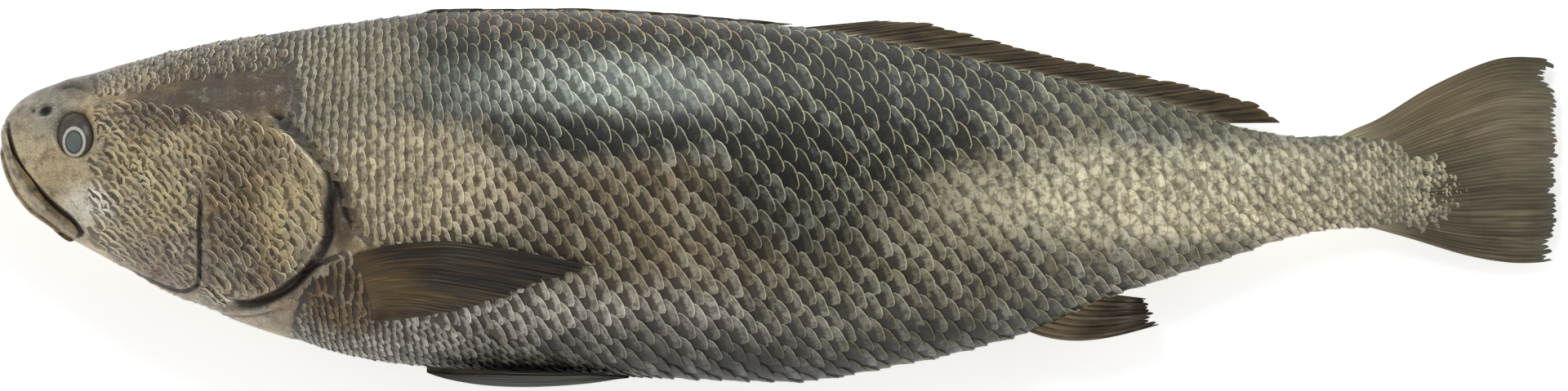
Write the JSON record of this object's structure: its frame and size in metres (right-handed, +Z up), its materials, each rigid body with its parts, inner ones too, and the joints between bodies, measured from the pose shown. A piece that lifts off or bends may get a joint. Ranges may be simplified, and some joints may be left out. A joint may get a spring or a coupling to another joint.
{
  "type": "meagre",
  "caption": "Whole fresh meagre, one metre long, lying on its right flank with fins folded back: a deep scaled body, blunt head and square tail.",
  "frame": {"origin": "middle of the bounding box in plan, on the table under the right flank", "axes": "+X from the head to the tail, +Y from the belly to the back, +Z up, out of the left flank"},
  "size_m": [1, 0.2424, 0.1263],
  "materials": {
    "scaled_skin": "wet scales, dark olive on the back and silver to pale brass on the flank",
    "eye": "wet and glossy, dark brown round an off-white ring and a cloudy grey pupil",
    "dorsal_fin": "wet brown membrane with darker rays",
    "anal_fin": "dark brown membrane with a paler middle",
    "tail_fin": "olive brown membrane with fine rays and a grey hind margin",
    "pectoral_fin": "almost black brown membrane with fine rays, golden at the root",
    "pelvic_fin": "almost black, wet"
  },
  "bodies": {
    "root": {"body": "scaled_skin", "eye_left": "eye", "eye_right": "eye", "dorsal_fin_spiny": "dorsal_fin", "dorsal_fin_soft": "dorsal_fin", "anal_fin": "anal_fin", "caudal_fin": "tail_fin", "pectoral_fin_left": "pectoral_fin", "pectoral_fin_right": "pectoral_fin", "pelvic_fin_left": "pelvic_fin", "pelvic_fin_right": "pelvic_fin"}
  },
  "joints": []
}
